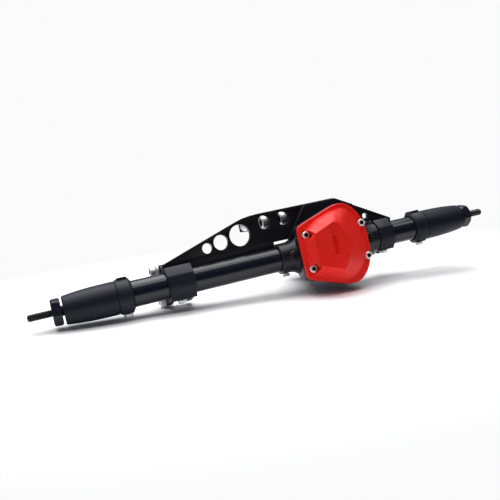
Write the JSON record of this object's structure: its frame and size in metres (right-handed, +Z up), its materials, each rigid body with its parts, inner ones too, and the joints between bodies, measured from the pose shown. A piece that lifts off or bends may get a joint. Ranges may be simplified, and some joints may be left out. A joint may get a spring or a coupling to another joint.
{
  "type": "rock crawler rear axle",
  "caption": "Solid drive axle for a small remote-controlled crawler: tubes, offset gear housing with red cover, truss plate, link mounts, hex wheel ends on threaded stubs.",
  "frame": {"origin": "on the wheel axis, half way between the two wheel ends", "axes": "+X along the axle to the end nearer the gear housing, -Y out of the red cover and +Y along the drive input, +Z up along the truss plate"},
  "size_m": [0.2624, 0.065, 0.0475],
  "materials": {
    "black_anodised": "black anodised, satin",
    "black_matte_anodised": "black anodised, blasted matte",
    "red_cover_paint": "red powder coat, satin gloss",
    "bright_steel": "bright, machined",
    "dark_steel": "black oxide"
  },
  "bodies": {
    "axle_housing": {"gear_housing": "black_anodised", "left_socket_grub": "bright_steel", "right_socket_grub": "bright_steel", "left_socket_screw": "bright_steel", "right_socket_screw": "bright_steel", "gear_cover": "red_cover_paint", "cover_screw_1": "bright_steel", "cover_screw_2": "bright_steel", "cover_screw_3": "bright_steel", "cover_screw_4": "bright_steel", "left_axle_tube": "black_anodised", "right_axle_tube": "black_anodised", "left_wheel_carrier": "black_matte_anodised", "right_wheel_carrier": "black_matte_anodised", "left_carrier_screw": "bright_steel", "right_carrier_screw": "bright_steel", "left_inner_wheel_bearing": "bright_steel", "left_outer_wheel_bearing": "bright_steel", "right_inner_wheel_bearing": "bright_steel", "right_outer_wheel_bearing": "bright_steel", "left_link_mount": "black_matte_anodised", "right_link_mount": "black_matte_anodised", "left_mount_screw": "bright_steel", "right_mount_screw": "bright_steel", "left_shock_washer": "bright_steel", "left_shock_screw": "bright_steel", "left_lower_link_washer": "bright_steel", "left_lower_link_screw": "bright_steel", "right_shock_washer": "bright_steel", "right_shock_screw": "bright_steel", "right_lower_link_washer": "bright_steel", "right_lower_link_screw": "bright_steel", "truss_plate": "black_anodised", "wing_screw_1": "bright_steel", "wing_screw_2": "bright_steel", "truss_screw_1": "bright_steel", "truss_screw_2": "bright_steel", "upper_link_bracket": "black_anodised", "upper_link_screw_1": "bright_steel", "upper_link_screw_2": "bright_steel", "bracket_screw_1": "bright_steel", "bracket_screw_2": "bright_steel", "bracket_spacer": "bright_steel", "left_carrier_bearing": "bright_steel", "right_carrier_bearing": "bright_steel", "inner_pinion_bearing": "bright_steel", "outer_pinion_bearing": "bright_steel"},
    "wheel_drive": {"ring_gear": "dark_steel", "locked_carrier": "dark_steel", "ring_gear_screw_1": "bright_steel", "ring_gear_screw_2": "bright_steel", "ring_gear_screw_3": "bright_steel", "left_drive_shaft": "dark_steel", "right_drive_shaft": "dark_steel", "left_wheel_hex": "black_anodised", "right_wheel_hex": "black_anodised", "left_hex_pin": "bright_steel", "right_hex_pin": "bright_steel"},
    "input_drive": {"pinion_gear": "dark_steel", "input_shaft": "dark_steel"}
  },
  "joints": [
    {"name": "wheel_spin", "type": "hinge", "parent": "axle_housing", "child": "wheel_drive", "pos_m": [0, 0, 0], "axis": [1, 0, 0], "continuous": true},
    {"name": "input_spin", "type": "hinge", "parent": "axle_housing", "child": "input_drive", "pos_m": [0.0227, 0, 0], "axis": [0, 1, 0], "continuous": true}
  ],
  "couplings": [
    {"joint": "input_spin", "follows": "wheel_spin", "ratio": -2.9231}
  ]
}
